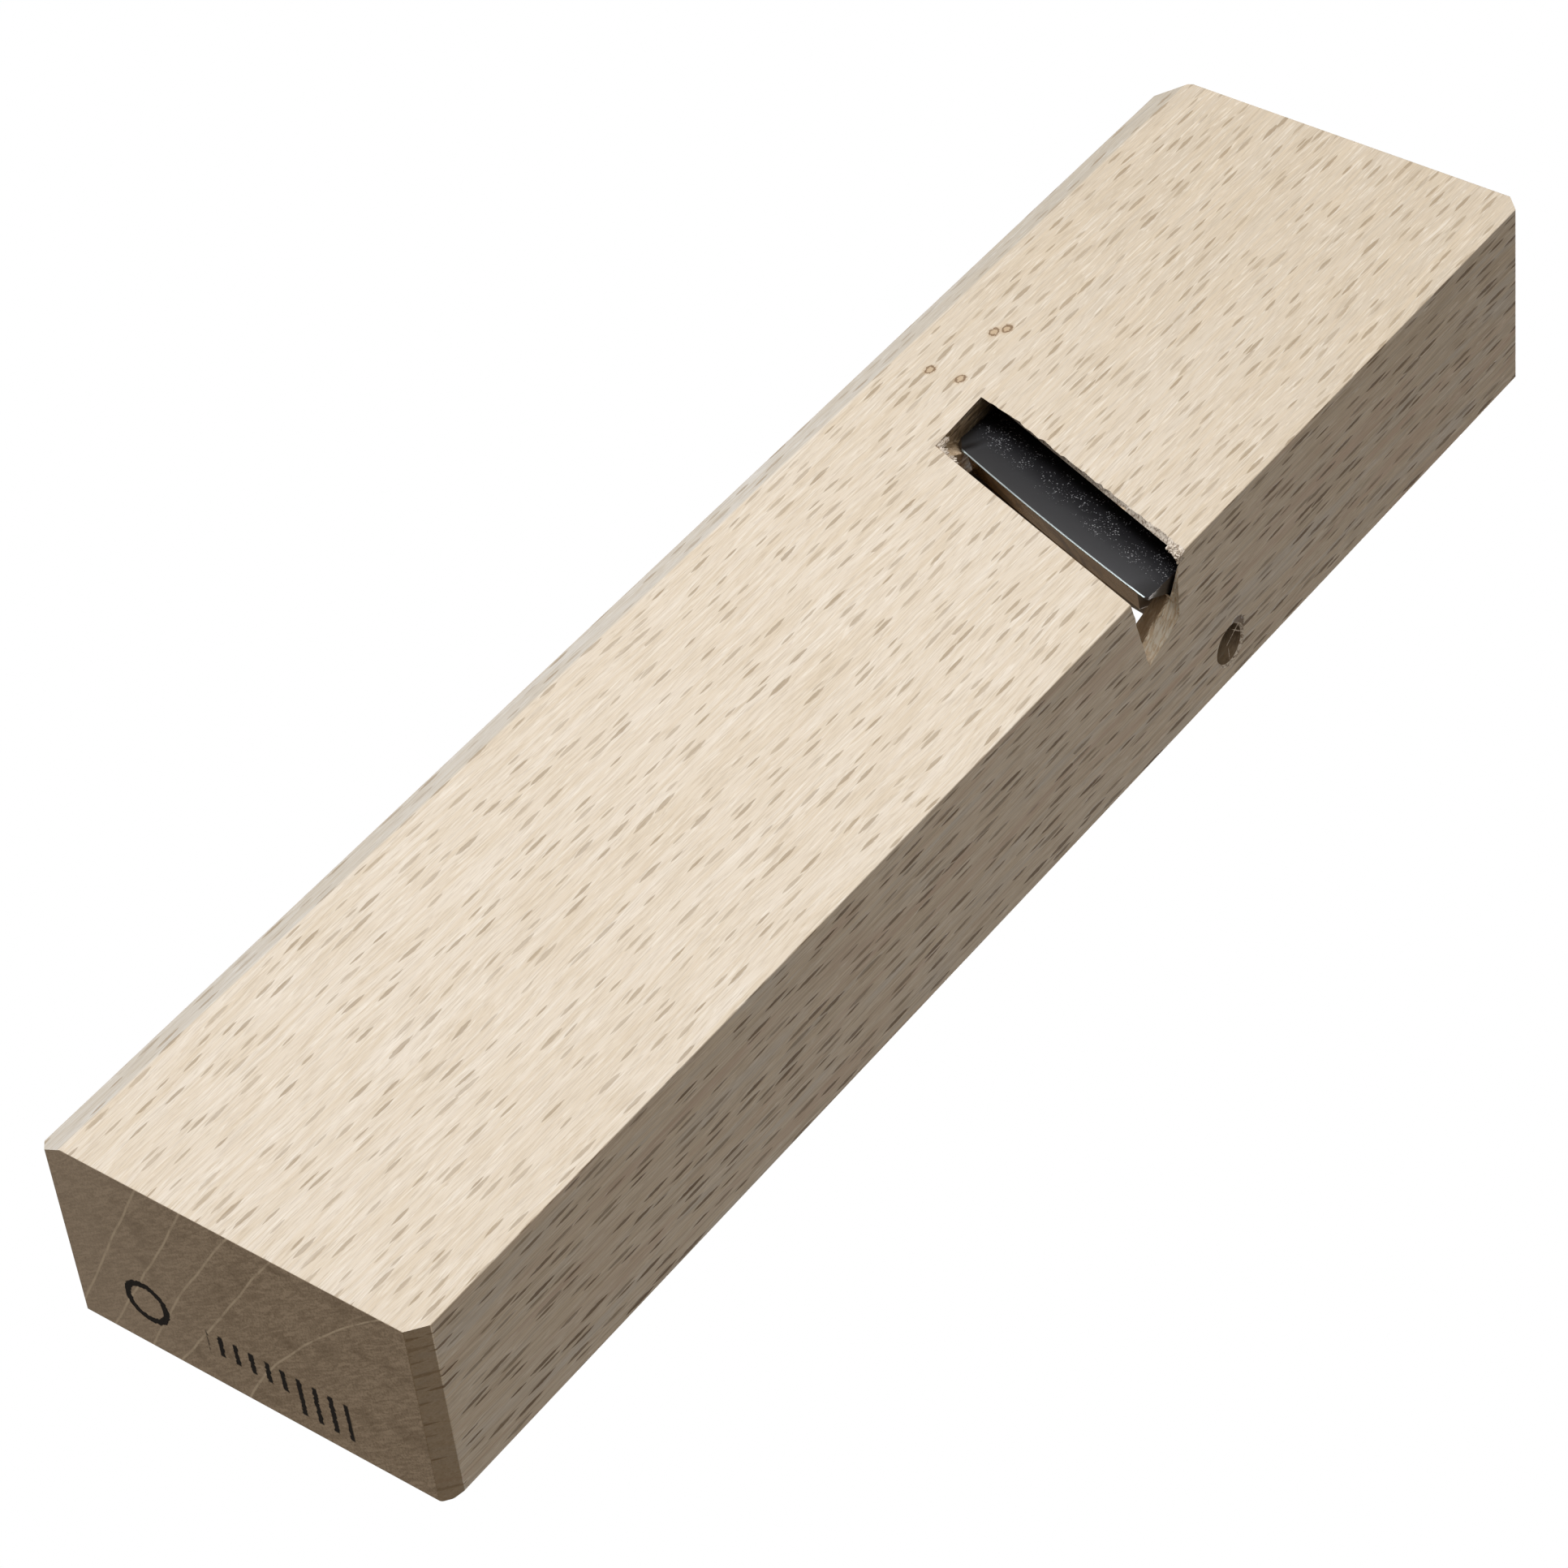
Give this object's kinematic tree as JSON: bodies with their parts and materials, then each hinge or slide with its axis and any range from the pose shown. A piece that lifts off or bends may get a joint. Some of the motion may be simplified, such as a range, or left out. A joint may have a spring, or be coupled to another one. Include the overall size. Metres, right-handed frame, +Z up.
{
  "type": "skew rabbet hand plane",
  "caption": "Small wooden skew rabbet plane with a slanting wedge-fit blade, chipbreaker and steel pressing pin, open on one side.",
  "frame": {"origin": "centre of the bounding box in plan, at the sole's flat face, which is the face the plane stands and slides on", "axes": "+Z up from the sole, +X towards the long leading end, -Y towards the open side where the blade's corner comes out"},
  "size_m": [0.15, 0.037, 0.0328],
  "materials": {
    "beech": "raw planed beech with short dark ray flecks",
    "blade_steel": "dark forged iron, ground bevel with a bright hard steel edge",
    "chipbreaker_steel": "dark rolled steel with a polished bevel",
    "pin_steel": "plain drawn steel, slightly tarnished"
  },
  "bodies": {
    "body": {"body": "beech", "pressing_pin": "pin_steel"},
    "blade": {"blade": "blade_steel"},
    "chipbreaker": {"chipbreaker": "chipbreaker_steel"}
  },
  "joints": [
    {"name": "blade_slide", "type": "slide", "parent": "body", "child": "blade", "axis": [-0.8096, 0.1869, 0.5564], "range_m": [-0.0021, 0.018]},
    {"name": "chipbreaker_slide", "type": "slide", "parent": "blade", "child": "chipbreaker", "axis": [-0.8096, 0.1869, 0.5564], "range_m": [-0.0009, 0.012]}
  ]
}
